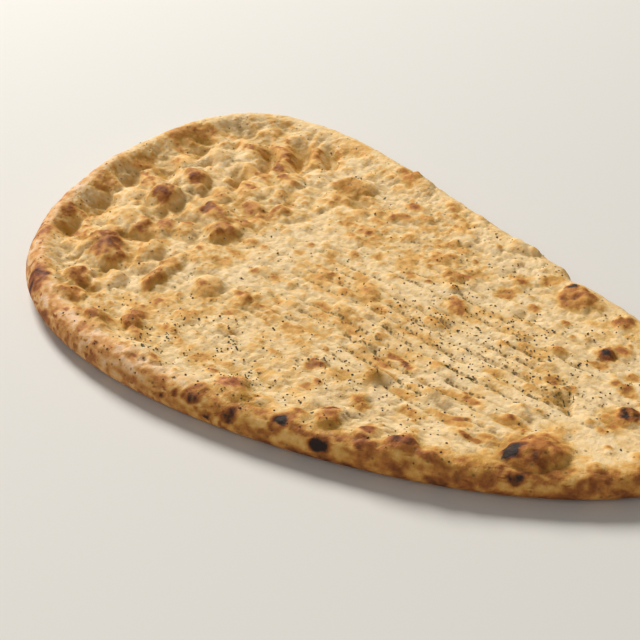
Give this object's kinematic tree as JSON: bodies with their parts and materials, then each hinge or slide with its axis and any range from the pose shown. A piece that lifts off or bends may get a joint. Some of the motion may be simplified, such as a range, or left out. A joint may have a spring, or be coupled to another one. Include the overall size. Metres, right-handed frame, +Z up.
{
  "type": "naan bread",
  "caption": "Egg-shaped leavened flatbread with a plump uneven rim, finger-pressed hollows, baked blisters and a flat underside.",
  "frame": {"origin": "under the middle of the bread, on the surface that it rests on", "axes": "+X along the bread towards its narrow tail, +Y towards its thin back edge, +Z up out of the baked face"},
  "size_m": [0.2962, 0.1768, 0.0149],
  "materials": {
    "crust": "matte"
  },
  "bodies": {
    "root": {"naan": "crust"}
  },
  "joints": []
}
